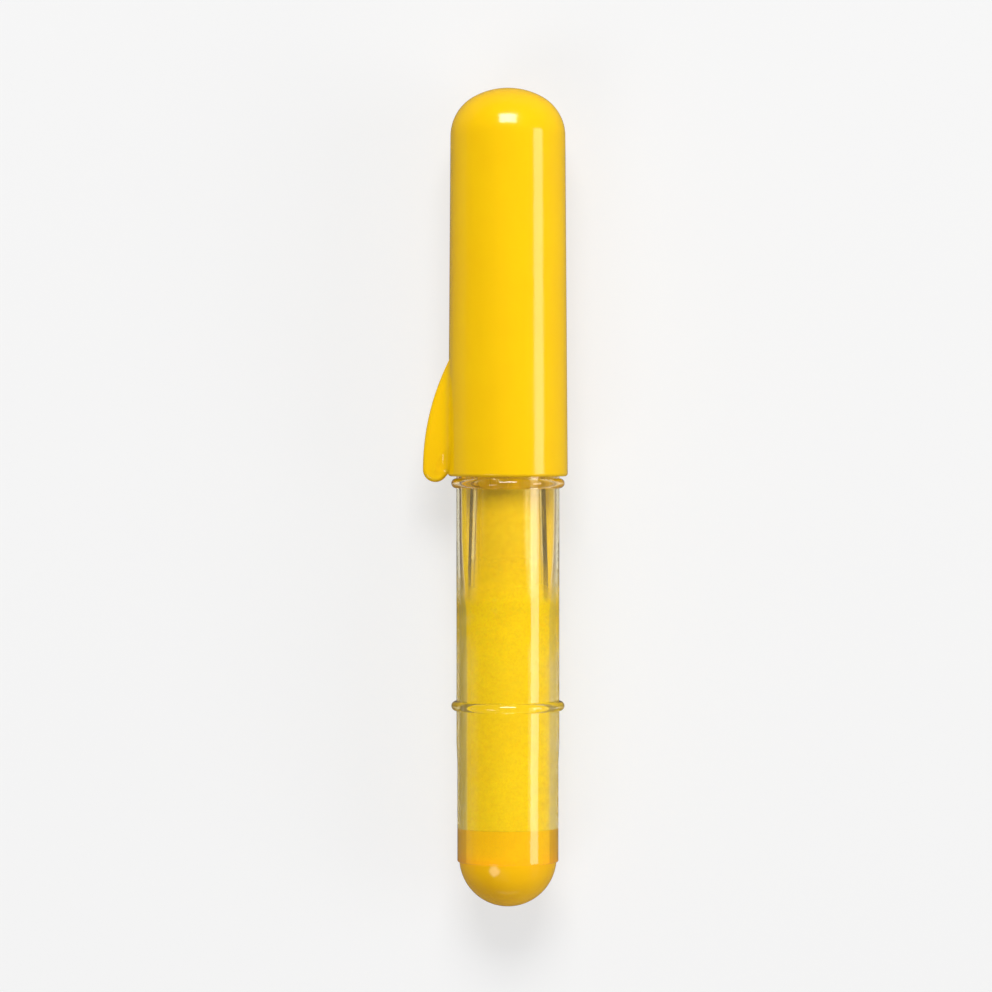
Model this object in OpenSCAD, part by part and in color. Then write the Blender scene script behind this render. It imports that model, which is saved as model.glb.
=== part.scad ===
// Chalk wheel marker: a pen that lays a thin line of loose chalk powder on cloth.
// A toothed wheel in the nose turns on the cloth and meters powder out of a clear barrel.
// Each piece is drawn standing on its tail with the pen's axis along Z, then laid along +X.

/* [Barrel] */
// Outer radius of the clear barrel
barrel_r = 7.55; // [7:0.05:9]
// Outer radius of the tail stretch, which takes the cap when it is posted
tail_r = 7.42; // [7:0.02:7.5]
// Length of the barrel from tail rim to mouth
barrel_len = 78.5; // [74:0.5:90]
// Length of the tail stretch that has the tail radius
tail_len = 14.5; // [8:0.5:18]
// Radius of the powder bore
bore_r = 6.2; // [5.4:0.05:6.4]
// Radius of the wider bore in the neck, which takes the nib holder
neck_bore_r = 7.0; // [6.7:0.02:7.1]
// Depth of the wider bore from the mouth
neck_bore_len = 24; // [20:0.5:28]
// Length over which the bore narrows below the neck
taper_len = 18; // [14:0.5:22]
// Rounding of the two ends of the barrel wall
rim_round = 0.25; // [0.1:0.05:0.4]

/* [Stop rings] */
// Length of each half-round ring along the barrel
ring_w = 1.6; // [1:0.1:2.4]
// Height of each ring above the barrel
ring_h = 0.75; // [0.4:0.05:1]
// Tail rim to the middle of the ring that stops the posted cap
post_ring_at = 22.9; // [20:0.5:30]
// Mouth of the barrel to the middle of the ring that stops the closed cap
stop_ring_back = 22.95; // [21.5:0.05:24]

/* [End plug] */
// Radius of the plug's round end
plug_r = 7.15; // [6.8:0.05:7.3]
// Height of the round end outside the barrel
plug_h = 6.55; // [5.5:0.05:7]
// Length of the spigot inside the bore
spigot_len = 4.95; // [3:0.05:8]
// Wall of the hollow plug
plug_wall = 1.4; // [0.8:0.1:2]
// Radial clearance of the pressed spigot
press_gap = 0.01; // [0.005:0.005:0.02]

/* [Cap] */
// Outer radius of the cap at its rim
cap_rim_r = 8.78; // [8.6:0.02:9.6]
// Outer radius of the cap where the dome begins
cap_top_r = 8.42; // [8.3:0.02:9]
// Length of the cap from rim to top
cap_len = 56.8; // [54:0.2:80]
// Radius of the dome's crown
crown_r = 10.4; // [9.5:0.1:14]
// Radius of the dome's shoulder
shoulder_r = 6.6; // [5.5:0.1:7]
// Thickness of the cap's wall above the rim
cap_wall = 1.1; // [0.9:0.05:1.3]
// Rounding of the rim's outer edge
cap_rim_round = 1.0; // [0.4:0.1:1]
// Radial clearance between the cap's bore and the barrel
cap_fit = 0.1; // [0.05:0.01:0.15]
// Gap between the cap's rim and the ring that stops it
cap_seat_gap = 0.3; // [0.1:0.05:0.5]
// How much the bore narrows above the barrel's mouth, where the inner cap is pressed in
cap_step = 0.15; // [0.05:0.01:0.25]

/* [Fin] */
// Height of the fin above the cap's rim radius
fin_h = 3.69; // [2:0.1:5]
// Length of the fin above the rim
fin_len = 17.2; // [12:0.2:24]
// How far the fin's round end reaches past the rim
fin_drop = 0.85; // [0.3:0.05:1.2]
// Radius of the fin's round end
fin_end_r = 1.83; // [1.5:0.05:2.2]
// Thickness of the fin along its outer edge
fin_edge_t = 1.3; // [1:0.1:1.6]
// Thickness of the fin at its foot
fin_base_t = 3.0; // [2:0.1:3.4]
// Width of the flared foot on the cap
fin_foot_w = 7.0; // [5:0.1:8]
// Length of the flared foot
fin_foot_len = 16; // [10:0.5:20]

/* [Inner cap] */
// Wall of the inner cap that seals the nib
liner_wall = 0.7; // [0.6:0.05:0.9]
// Radial clearance between the inner cap and the nib holder's collar
liner_fit = 0.05; // [0.03:0.01:0.1]
// Thickness of the inner cap's flange
liner_flange_t = 1.2; // [0.8:0.1:2]
// Gap between the inner cap's end and the dome
liner_end_gap = 0.3; // [0.2:0.05:0.5]

/* [Nib holder] */
// Radius of the funnel's lip inside the bore
funnel_lip_r = 6.0; // [5.6:0.05:6.05]
// Outer radius of the funnel where it joins the plug
funnel_top_r = 5.1; // [4.8:0.05:5.3]
// Wall of the funnel
funnel_wall = 0.9; // [0.5:0.05:1.1]
// Wall of the funnel at its lip, where the inside is bevelled
funnel_lip_wall = 0.3; // [0.25:0.05:0.4]
// Length of the bevel inside the lip
lip_bevel_len = 3; // [1:0.25:5]
// Length of the funnel below the plug
funnel_len = 30.5; // [26:0.5:31]
// Length of the plug in the barrel's mouth
holder_plug_len = 10; // [6:0.5:12]
// Radial clearance of the plug in the neck
holder_fit = 0.05; // [0.03:0.01:0.08]
// Radius of the flange that stops on the barrel's mouth
flange_r = 7.3; // [7.2:0.02:7.45]
// Thickness of the flange
flange_t = 1.4; // [1:0.1:2]
// Gap between the flange and the mouth
flange_gap = 0.05; // [0.05:0.05:0.3]
// Radius of the collar that the inner cap seals on
collar_r = 5.85; // [5.6:0.05:6]
// Length of the collar
collar_len = 6.6; // [5:0.2:8]
// Length of the cone in front of the collar
cone_len = 6.5; // [5:0.5:8]
// Radius of the cone's front end
cone_end_r = 3.9; // [3.7:0.1:4.4]

/* [Wheel fork] */
// Radius of the shank pressed into the nib holder
shank_r = 2.7; // [2.4:0.1:2.9]
// Length of the shank
shank_len = 5; // [3:0.5:5.5]
// Radius of the powder channel through the shank
channel_r = 1.7; // [1.2:0.1:1.9]
// Radius of the fork's shoulder
fork_r = 3.6; // [3.4:0.1:3.7]
// Thickness of the fork's shoulder
fork_shoulder_t = 0.9; // [0.5:0.1:1.5]
// Thickness of the flat beak across both cheeks
beak_t = 4.2; // [3.8:0.1:5]
// Radius of the cheeks' round ends
cheek_r = 2.6; // [2.2:0.1:2.8]
// Clearance between the wheel and each cheek
slot_gap = 0.3; // [0.2:0.05:0.4]
// Height of the boss that centres the wheel in the slot
boss_h = 0.25; // [0.15:0.05:0.35]
// Radius of the boss
boss_r = 1.3; // [1.1:0.1:1.6]

/* [Chalk wheel] */
// Radius over the teeth
wheel_r = 3.5; // [3:0.1:3.8]
// Thickness of the wheel
wheel_t = 0.6; // [0.5:0.05:0.9]
// Number of teeth
teeth = 28; // [20:2:36]
// Depth of the teeth
tooth_h = 0.45; // [0.3:0.05:0.6]
// Radius of the steel pin that carries the wheel
pin_r = 0.6; // [0.5:0.05:0.7]
// Radial clearance of the wheel on its pin
pin_fit = 0.04; // [0.02:0.01:0.08]
// Clearance between the wheel's teeth and the back of the slot
wheel_back_gap = 0.35; // [0.3:0.05:0.6]

/* [Chalk] */
// Gap between the powder and the clear walls
chalk_gap = 0.05; // [0.03:0.01:0.08]
// Depth of the powder's top below the barrel's mouth
chalk_drop = 4; // [3:0.5:9]
// Depth of the caught powder's top below the holder's plug
ring_drop = 6; // [3:0.5:10]
// Level of the caught powder below the pen's axis when the pen lies on the table
ring_level = 0.8; // [0:0.1:3]

/* [Hidden] */
$fn = 96;
arc_steps = 12;
cut = 1;

// Places along the pen's axis, counted from the tip of the end plug
tail_z = plug_h;
mouth_z = tail_z + barrel_len;
neck_z = mouth_z - neck_bore_len;
taper_z = neck_z - taper_len;
post_ring_z = tail_z + post_ring_at;
stop_ring_z = mouth_z - stop_ring_back;
cap_rim_z = stop_ring_z + ring_w / 2 + cap_seat_gap;
top_z = cap_rim_z + cap_len;
flange_z = mouth_z + flange_gap;
collar_z = flange_z + flange_t;
cone_z = collar_z + collar_len;
fork_z = cone_z + cone_len;
step_z = collar_z + 0.25;
plug_z = flange_z - holder_plug_len;
lip_z = plug_z - funnel_len;
bevel_z = lip_z + lip_bevel_len;
slot_z = fork_z + fork_shoulder_t;
wheel_z = slot_z + wheel_back_gap + wheel_r;
chalk_top_z = mouth_z - chalk_drop;

// Radii that follow from a piece and its clearance
mouth_bore_r = barrel_r + cap_fit;
top_bore_r = cap_top_r - cap_wall;
plug_hole_r = bore_r - plug_wall;
liner_r = collar_r + liner_fit;
slot_w = wheel_t + 2 * slot_gap;
lip_bore_r = funnel_lip_r - funnel_lip_wall;
fin_reach = cap_rim_r + fin_h;

// Where the dome's two arcs meet
shoulder_x = cap_top_r - shoulder_r;
dome_turn = asin(shoulder_x / (crown_r - shoulder_r));
shoulder_z = top_z - crown_r + (crown_r - shoulder_r) * cos(dome_turn);

// The fin's outer edge is one arc from its root to the round end
fin_end_z = cap_rim_z - fin_drop + fin_end_r;
fin_root_y = cap_rim_r - 0.25;
fin_rise = fin_reach - fin_root_y;
fin_run = cap_rim_z + fin_len - fin_end_z;
fin_arc_r = (fin_run * fin_run + fin_rise * fin_rise) / (2 * fin_rise);
fin_sweep = asin(fin_run / fin_arc_r);

// Points of an arc about a centre, from one angle to another
function arc(x, y, r, from, to) =
    [for (i = [0:arc_steps]) let (a = from + (to - from) * i / arc_steps) [x + r * cos(a), y + r * sin(a)]];

// Value on a straight line between two points, at a height
function between(z, z0, v0, z1, v1) = v0 + (v1 - v0) * (z - z0) / (z1 - z0);

// Bore radius of the cap at a height above its step, straight up to the dome
function cap_bore(z) = between(z, step_z, mouth_bore_r - cap_step, shoulder_z, top_bore_r);

// Radius of the tapered stretch of the barrel's bore at a height
function taper_bore(z) = between(z, taper_z, bore_r, neck_z, neck_bore_r);

// Radii of the funnel's outside and inside at a height
function funnel_out(z) = between(z, lip_z, funnel_lip_r, plug_z, funnel_top_r);
function funnel_in(z) = funnel_out(z) - funnel_wall;

// Lays a piece that stands on the pen's tail along +X, with the cap's rim on the floor
module laid() {
    translate([-top_z / 2, -fin_h / 2, cap_rim_r])
        rotate([0, 90, 0])
        children();
}

// A half-round ring about the axis, in the barrel's profile
module ring_profile(z) {
    polygon(concat([[barrel_r - 0.3, z - ring_w / 2]],
        [for (i = [0:arc_steps]) let (a = -90 + 180 * i / arc_steps)
            [barrel_r + ring_h * cos(a), z + ring_w / 2 * sin(a)]],
        [[barrel_r - 0.3, z + ring_w / 2]]));
}

module barrel() {
    tail_end = tail_z + tail_len;
    color([0.95, 0.94, 0.84, 0.4]) laid() rotate_extrude() union() {
        polygon(concat(
            [[bore_r, tail_z]],
            arc(tail_r - rim_round, tail_z + rim_round, rim_round, -90, 0),
            [[tail_r, tail_end], [barrel_r, tail_end + 3]],
            arc(barrel_r - rim_round, mouth_z - rim_round, rim_round, 0, 90),
            [[neck_bore_r, mouth_z], [neck_bore_r, neck_z], [bore_r, taper_z]]));
        ring_profile(post_ring_z);
        ring_profile(stop_ring_z);
    }
}

module end_plug() {
    color([0.98, 0.74, 0.05]) laid() difference() {
        union() {
            intersection() {
                translate([0, 0, plug_r]) sphere(plug_r);
                cylinder(r = plug_r + cut, h = plug_h);
            }
            translate([0, 0, plug_h - press_gap]) cylinder(r = bore_r - press_gap, h = spigot_len + press_gap);
        }
        intersection() {
            translate([0, 0, plug_r]) sphere(plug_r - plug_wall);
            cylinder(r = plug_hole_r, h = plug_r);
        }
        translate([0, 0, plug_r - 0.01]) cylinder(r = plug_hole_r, h = plug_h + spigot_len);
    }
}

// Loose powder packed in the plug, the bore and up inside the funnel, with a heaped top
module chalk_powder() {
    heap = 2.2;
    start_z = plug_h + spigot_len + chalk_gap;
    heap_z = chalk_top_z - heap;
    top_r = funnel_top_r - funnel_wall - chalk_gap - 0.3;
    cup_r = plug_r - plug_wall - chalk_gap;
    neck_r = plug_hole_r - chalk_gap;
    color([0.96, 0.80, 0.05]) laid() rotate_extrude() polygon(concat(
        arc(0, plug_r, cup_r, -90, -acos(neck_r / cup_r)),
        [[neck_r, start_z],
        [bore_r - chalk_gap, start_z],
        [bore_r - chalk_gap, taper_z],
        [taper_bore(lip_z - chalk_gap * 4) - chalk_gap, lip_z - chalk_gap * 4],
        [lip_bore_r - chalk_gap, lip_z - chalk_gap],
        [funnel_in(bevel_z) - chalk_gap, bevel_z],
        [funnel_in(plug_z - 1) - chalk_gap, plug_z - 1],
        [top_r, heap_z],
        [top_r * 0.6, heap_z + heap * 0.75],
        [0, chalk_top_z]]));
}

// Powder caught beside the funnel, which lies in the lower side of the tapered bore and comes away with it
module chalk_ring() {
    ring_top_z = plug_z - ring_drop;
    foot_z = lip_z + 1.2;
    slip = 2 * chalk_gap;
    color([0.90, 0.74, 0.06]) laid() difference() {
        rotate_extrude() polygon([
            [funnel_out(foot_z) + chalk_gap, foot_z],
            [taper_bore(foot_z) - slip, foot_z],
            [neck_bore_r - slip, neck_z],
            [neck_bore_r - slip, ring_top_z],
            [funnel_out(ring_top_z) + chalk_gap, ring_top_z]]);
        translate([ring_level - 2 * neck_bore_r, -neck_bore_r, foot_z - cut])
            cube([2 * neck_bore_r, 2 * neck_bore_r, ring_top_z - foot_z + 2 * cut]);
    }
}

// Clear holder: a funnel that dips into the powder, a plug in the mouth and a cone that holds the fork
module nib_holder() {
    plug_side_r = neck_bore_r - holder_fit;
    throat_z = fork_z - shank_len;
    color([0.93, 0.93, 0.88, 0.45]) laid() rotate_extrude() polygon([
        [funnel_in(bevel_z), bevel_z],
        [lip_bore_r, lip_z],
        [funnel_lip_r, lip_z],
        [funnel_top_r, plug_z],
        [plug_side_r - 0.3, plug_z],
        [plug_side_r, plug_z + 0.6],
        [plug_side_r, flange_z],
        [flange_r, flange_z],
        [flange_r, collar_z - 0.3],
        [flange_r - 0.3, collar_z],
        [collar_r, collar_z],
        [collar_r, cone_z],
        [cone_end_r, fork_z],
        [shank_r, fork_z],
        [shank_r, throat_z],
        [channel_r, throat_z],
        [funnel_in(plug_z), throat_z - 4],
        [funnel_in(plug_z), plug_z]]);
}

// The nose: a pressed shank, a shoulder and a flat beak with the slot that carries the wheel
module wheel_fork() {
    shank_z = fork_z - shank_len + 0.1;
    color([0.96, 0.95, 0.92]) laid() difference() {
        union() {
            translate([0, 0, shank_z]) cylinder(r = shank_r - press_gap, h = shank_len);
            translate([0, 0, fork_z]) cylinder(r = fork_r, h = fork_shoulder_t);
            intersection() {
                union() {
                    translate([0, 0, slot_z - 0.01])
                        cylinder(r1 = fork_r, r2 = cheek_r, h = wheel_z - slot_z);
                    translate([0, 0, wheel_z]) sphere(cheek_r);
                }
                translate([-fork_r, -beak_t / 2, slot_z - cut])
                    cube([2 * fork_r, beak_t, wheel_z - slot_z + cheek_r + 2 * cut]);
            }
        }
        translate([0, 0, shank_z - cut])
            cylinder(r = channel_r, h = slot_z - shank_z + cut + 0.3);
        difference() {
            translate([-fork_r - cut, -slot_w / 2, slot_z])
                cube([2 * (fork_r + cut), slot_w, 2 * wheel_r + cheek_r]);
            for (side = [-1, 1])
                translate([0, side * (slot_w / 2 - boss_h / 2), wheel_z])
                    rotate([90, 0, 0])
                    cylinder(r = boss_r, h = boss_h, center = true);
        }
        translate([0, 0, wheel_z]) rotate([90, 0, 0]) cylinder(r = pin_r, h = 2 * beak_t, center = true);
    }
}

module wheel_axle() {
    color([0.80, 0.80, 0.82]) laid() translate([0, 0, wheel_z])
        rotate([90, 0, 0])
        cylinder(r = pin_r, h = beak_t - 0.4, center = true);
}

// One tooth of the wheel's outline, a symmetric point with a narrow flat tip
function tooth(i) = let (step = 360 / teeth, a = i * step, root = wheel_r - tooth_h) [
    [root * cos(a - step * 0.42), root * sin(a - step * 0.42)],
    [wheel_r * cos(a - step * 0.12), wheel_r * sin(a - step * 0.12)],
    [wheel_r * cos(a + step * 0.12), wheel_r * sin(a + step * 0.12)],
    [root * cos(a + step * 0.42), root * sin(a + step * 0.42)]];

module chalk_wheel() {
    color([0.80, 0.66, 0.36]) laid() translate([0, 0, wheel_z]) rotate([90, 0, 0]) difference() {
        linear_extrude(wheel_t, center = true)
            polygon([for (i = [0:teeth - 1]) each tooth(i)]);
        cylinder(r = pin_r + pin_fit, h = wheel_t + cut, center = true);
    }
}

// Outside of the cap: rounded rim, slight taper, then a shoulder arc and a flatter crown
module cap_outside() {
    rotate_extrude() polygon(concat(
        [[0, cap_rim_z]],
        arc(cap_rim_r - cap_rim_round, cap_rim_z + cap_rim_round, cap_rim_round, -90, 0),
        arc(shoulder_x, shoulder_z, shoulder_r, 0, 90 - dome_turn),
        arc(0, top_z - crown_r, crown_r, 90 - dome_turn, 90)));
}

// Inside of the cap, one wall inside the outside, open at the rim
module cap_inside() {
    in_shoulder = shoulder_r - cap_wall;
    rotate_extrude() polygon(concat(
        [[0, cap_rim_z - cut], [mouth_bore_r + 0.25, cap_rim_z - cut], [mouth_bore_r + 0.25, cap_rim_z],
            [mouth_bore_r, cap_rim_z + 0.4], [mouth_bore_r, step_z], [cap_bore(step_z), step_z]],
        arc(shoulder_x, shoulder_z, in_shoulder, 0, 90 - dome_turn),
        arc(0, top_z - crown_r, crown_r - cap_wall, 90 - dome_turn, 90)));
}

// The fin that keeps the pen from rolling: thin along its edge and thicker at its foot
module fin_blade() {
    edge_r = fin_edge_t / 2;
    foot_y = cap_rim_r - cap_wall * 0.6;
    hull() {
        for (i = [0:6])
            let (a = fin_sweep * i / 6)
            translate([0, fin_reach - fin_arc_r + (fin_arc_r - edge_r) * cos(a),
                fin_end_z + (fin_arc_r - edge_r) * sin(a)])
            sphere(edge_r, $fn = 24);
        translate([0, fin_reach - fin_end_r, fin_end_z]) rotate([0, 90, 0]) {
            cylinder(r = fin_end_r, h = fin_edge_t * 0.6, center = true, $fn = 32);
            cylinder(r = fin_end_r - 0.35, h = fin_edge_t + 0.4, center = true, $fn = 32);
            cylinder(r = fin_end_r - 1, h = fin_edge_t + 0.9, center = true, $fn = 32);
        }
        translate([-fin_base_t / 2, foot_y, cap_rim_z + cap_rim_round])
            cube([fin_base_t, 0.6, fin_len * 0.45]);
    }
}

// The fin's flared foot, a half oval on the cap that narrows up to the blade
module fin_foot() {
    intersection() {
        hull() {
            translate([0, cap_rim_r - cap_wall * 0.7, cap_rim_z]) rotate([-90, 0, 0])
                linear_extrude(0.1) scale([fin_foot_w / 2 / fin_foot_len, 1]) circle(fin_foot_len, $fn = 64);
            translate([0, cap_rim_r + 0.5, cap_rim_z]) rotate([-90, 0, 0])
                linear_extrude(0.1) scale([fin_base_t / 2 / fin_foot_len, 0.8]) circle(fin_foot_len, $fn = 64);
        }
        translate([-fin_foot_w, 0, cap_rim_z + cap_rim_round * 0.5])
            cube([2 * fin_foot_w, 2 * cap_rim_r, 2 * fin_foot_len]);
    }
}

module cap_shell() {
    color([1.0, 0.80, 0.0]) laid() difference() {
        union() {
            cap_outside();
            fin_blade();
            fin_foot();
        }
        cap_inside();
    }
}

// Cup inside the cap that closes on the collar and keeps the powder in
module inner_cap() {
    start_z = collar_z + 0.5;
    out_r = liner_r + liner_wall;
    end_z = shoulder_z + sqrt(pow(shoulder_r - cap_wall, 2) - pow(out_r - shoulder_x, 2)) - liner_end_gap;
    press_r = cap_bore(start_z) - press_gap;
    press_end_r = cap_bore(start_z + liner_flange_t) - press_gap;
    color([0.97, 0.96, 0.93]) laid() rotate_extrude() polygon([
        [liner_r, start_z],
        [press_r, start_z],
        [press_end_r, start_z + liner_flange_t],
        [out_r, start_z + liner_flange_t],
        [out_r, end_z],
        [0, end_z],
        [0, end_z - liner_wall],
        [liner_r, end_z - liner_wall]]);
}

cap_shell();
inner_cap();
barrel();
end_plug();
chalk_powder();
chalk_ring();
nib_holder();
wheel_fork();
wheel_axle();
chalk_wheel();
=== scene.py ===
# %% [markdown]
# A chalk wheel marker, dressed for a studio picture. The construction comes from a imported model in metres:
# a clear barrel filled with loose chalk, a glossy cap with a fin, and a nib with a small toothed wheel.
# This script keeps every piece where that model has it, and gives each one the surface of the real thing.

# %% Load the model and the tools
import math
from collections import namedtuple

import bmesh
import bpy
from mathutils import Matrix, Vector


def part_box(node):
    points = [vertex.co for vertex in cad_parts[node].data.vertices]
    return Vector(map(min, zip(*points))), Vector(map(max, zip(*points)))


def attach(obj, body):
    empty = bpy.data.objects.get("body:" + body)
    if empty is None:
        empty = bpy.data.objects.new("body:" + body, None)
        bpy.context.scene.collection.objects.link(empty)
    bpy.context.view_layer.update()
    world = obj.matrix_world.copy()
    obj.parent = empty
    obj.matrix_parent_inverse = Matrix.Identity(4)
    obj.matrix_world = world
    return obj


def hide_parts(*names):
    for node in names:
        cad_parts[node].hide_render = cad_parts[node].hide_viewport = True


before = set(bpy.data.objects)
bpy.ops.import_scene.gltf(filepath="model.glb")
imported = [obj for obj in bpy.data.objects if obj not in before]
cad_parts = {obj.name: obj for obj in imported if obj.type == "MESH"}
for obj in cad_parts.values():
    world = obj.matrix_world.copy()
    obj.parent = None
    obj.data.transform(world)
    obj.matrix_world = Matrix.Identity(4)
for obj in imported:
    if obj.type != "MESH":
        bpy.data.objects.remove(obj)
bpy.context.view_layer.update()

scene = bpy.context.scene
scene.view_settings.view_transform = "Standard"

# %% [markdown]
# The pen lies along X with its cap towards +X. Every place below is read from the model's own pieces,
# so a longer barrel or cap moves everything that belongs to it. Sizes are written in millimetres.

# %% Units and the pen's axis
mm = 0.001
wheel_low, wheel_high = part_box("chalk_wheel")
axis_y = (wheel_low.y + wheel_high.y) / 2
axis_z = (wheel_low.z + wheel_high.z) / 2
barrel_low, barrel_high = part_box("barrel")
tail_x, mouth_x = barrel_low.x, barrel_high.x
_, cap_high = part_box("cap_shell")
holder_low, holder_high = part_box("nib_holder")
lip_x = holder_low.x
stop_bead_x = mouth_x - 22.95 * mm
post_bead_x = tail_x + 22.9 * mm
print("axis height in mm:", round(axis_z / mm, 2))

# %% [markdown]
# Colours are written the way a picture editor shows them, as sRGB hex. Shaders count in linear light,
# so one function turns the first into the second.

# %% Colours from hex to linear light


def colour(code):
    """An sRGB hex colour as a linear RGBA tuple."""
    channels = [int(code[i:i + 2], 16) / 255 for i in (0, 2, 4)]
    return tuple(c / 12.92 if c <= 0.04045 else ((c + 0.055) / 1.055) ** 2.4 for c in channels) + (1.0,)


# %% [markdown]
# A node tree is easier to read when each node takes one statement. This helper adds a node, sets its
# properties and its sockets by name, and joins the sockets that are given another node's output.

# %% One helper for every kind of node


def add(tree, kind, settings=None, **sockets):
    """A new node with its properties from settings. A socket takes a value or another node's output."""
    made = tree.nodes.new(kind)
    for name, value in (settings or {}).items():
        setattr(made, name, value)
    for name, value in sockets.items():
        socket = made.inputs[int(name[1:])] if name[0] == "i" and name[1:].isdigit() else None
        if socket is None:
            socket = made.inputs[name.replace("_", " ")]
        if isinstance(value, bpy.types.NodeSocket):
            tree.links.new(value, socket)
        else:
            socket.default_value = value
    return made


def new_material(name):
    """An empty material: its node tree and the output node's surface socket."""
    material = bpy.data.materials.new(name)
    material.use_nodes = True
    tree = material.node_tree
    tree.nodes.clear()
    surface = tree.nodes.new("ShaderNodeOutputMaterial").inputs["Surface"]
    return material, tree, surface


# %% [markdown]
# Surface patterns follow real sizes. A noise texture's Scale is the number of cells in a metre, so the
# size of one cell in millimetres gives it. Stretching the coordinates first gives lines along the pen.

# %% Noise at a real size


def noise(tree, size_mm, detail=3.0, stretch=(1, 1, 1), rough=0.5):
    """Noise in object space with cells of a real size, drawn out along the axes by stretch."""
    place = add(tree, "ShaderNodeTexCoord")
    moved = add(tree, "ShaderNodeMapping", Vector=place.outputs["Object"], Scale=[1 / s for s in stretch])
    return add(tree, "ShaderNodeTexNoise", Vector=moved.outputs["Vector"], Scale=1 / (size_mm * mm),
               Detail=detail, Roughness=rough).outputs["Fac"]


def between(tree, value, low, high, to_low, to_high):
    """A value carried from one range to another and held inside it."""
    return add(tree, "ShaderNodeMapRange", Value=value, From_Min=low, From_Max=high,
               To_Min=to_low, To_Max=to_high).outputs["Result"]


def calculate(tree, operation, first, second, held=False):
    """Two values put through a Math operation, held between 0 and 1 where asked."""
    return add(tree, "ShaderNodeMath", {"operation": operation, "use_clamp": held}, i0=first,
               i1=second).outputs[0]


def times(tree, first, second):
    """Two shares multiplied."""
    return calculate(tree, "MULTIPLY", first, second, True)


def blend(tree, share, first, second):
    """Two colours mixed by a share from nodes."""
    return add(tree, "ShaderNodeMix", {"data_type": "RGBA"}, Factor=share, i6=first, i7=second).outputs[2]


def bump(tree, height, depth_mm, strength=1.0, normal=None):
    """A bump from a height of 0 to 1 that stands for a real depth."""
    extra = {"Normal": normal} if normal else {}
    return add(tree, "ShaderNodeBump", Height=height, Distance=depth_mm * mm, Strength=strength,
               **extra).outputs["Normal"]


# %% [markdown]
# The cap and the end plug are injection moulded ABS from a polished mould. The eye sees an even, strong
# yellow, a clear mirror of the lamps, the faint orange peel of thin walls, and hair scratches from a
# sewing box. A little light goes into the plastic, which warms the side away from the lamp.

# %% Glossy yellow moulded ABS


def moulded_abs(name, main, deep):
    cloud_mm, flow_mm, scratch_mm, handling_mm, peel_mm = 7, 1.6, 0.25, 5, 1.8
    along_the_flow, along_the_pen = (9, 1, 1), (30, 1, 1)
    peel_depth_mm, scratch_depth_mm = 0.004, 0.0015
    material, tree, surface = new_material(name)
    cloud = noise(tree, cloud_mm, 4)
    flow = noise(tree, flow_mm, 3, along_the_flow)
    tint = blend(tree, between(tree, cloud, 0.35, 0.7, 0, 0.4), colour(main), colour(deep))
    tint = blend(tree, between(tree, flow, 0.45, 0.75, 0, 0.2), tint, colour(deep))
    scratches = noise(tree, scratch_mm, 2, along_the_pen)
    shine = between(tree, noise(tree, handling_mm, 5), 0.4, 0.75, 0.11, 0.18)
    worn = calculate(tree, "ADD", shine, between(tree, scratches, 0.66, 0.8, 0, 0.14))
    peel = bump(tree, noise(tree, peel_mm, 2), peel_depth_mm)
    fine = bump(tree, scratches, scratch_depth_mm, 0.6, peel)
    plastic = add(tree, "ShaderNodeBsdfPrincipled", Base_Color=tint, Roughness=worn, Normal=fine, IOR=1.53,
                  Subsurface_Weight=0.05, Subsurface_Radius=(1.0, 0.5, 0.05), Subsurface_Scale=0.5 * mm)
    tree.links.new(plastic.outputs["BSDF"], surface)
    return material


cap_yellow = moulded_abs("moulded_abs_yellow", "FFCC00", "FAC200")
plug_yellow = moulded_abs("moulded_abs_amber", "FFC200", "FAB600")
print("yellow finishes:", cap_yellow.name, plug_yellow.name)

# %% [markdown]
# The barrel and the nib holder are crystal polystyrene, a hard clear plastic that bends light strongly.
# Chalk clings to its inside. Looked at squarely, that is a thin yellow dust that lets the powder behind
# shine through. Where the wall is seen at a slant and mirrors, a dark film of painted shade is laid over it,
# which draws the dark lines along the clear walls. How much dust and painted shade there is changes along
# the pen, so a row of stops gives a share at each place.

# %% Shares along the pen


def stepped(tree, value, stops):
    """A share that follows (value, share) stops."""
    first, last = stops[0][0], stops[-1][0]
    top = max(share for _, share in stops)
    ramp = add(tree, "ShaderNodeValToRGB", Fac=between(tree, value, first, last, 0, 1))
    spots = ramp.color_ramp.elements
    while len(spots) < len(stops):
        spots.new(0.5)
    for spot, (x, share) in zip(spots, stops):
        spot.position = (x - first) / (last - first)
        spot.color = (share / top, share / top, share / top, 1)
    return calculate(tree, "MULTIPLY", ramp.outputs["Color"], top)


def over(tree, share, below, above):
    """A shader laid over another one by a share."""
    return add(tree, "ShaderNodeMixShader", Fac=share, i1=below, i2=above).outputs["Shader"]


# %% [markdown]
# Slant is Layer Weight's Facing: one less the cosine of the angle between a ray and the wall's normal. From
# inside polystyrene a wall starts to mirror at a slant of 0.223. On the inner walls the painted shade starts
# just before that, and its widest slant says where it ends. Dust at a slant just short of it looks denser
# than dust seen squarely, and it is laid on heavier on the fin's shaded side than on the lamp's side, so
# part of it is painted shade. The painted shade on the funnel's outside is met from the open side and starts
# much later.
#
# A Dust is two grain colours, its least and most cover, the cover's stops along the pen, and a painted glow
# that stands in for the light that a narrow gap gathers. A painted shade is two dark colours with the stops
# of the first one, the slants where it starts and is full, its widest slants along the pen, its most cover,
# and for the lamp's side, on the right, its share and how much earlier it starts.

# %% Dust and film on a clear wall
styrene_ior = 1.59
side_reach = 4 * mm
Dust = namedtuple("Dust", "pale deep least most stops glow")
PaintedShade = namedtuple("PaintedShade", "first second share_stops start full widest most right_share right_early")


def to_the_left(tree, across, on_right, on_left):
    """A value that changes from the lamp's side of the pen to the fin's side."""
    return between(tree, across, axis_y - side_reach, axis_y + side_reach, on_right, on_left)


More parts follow.
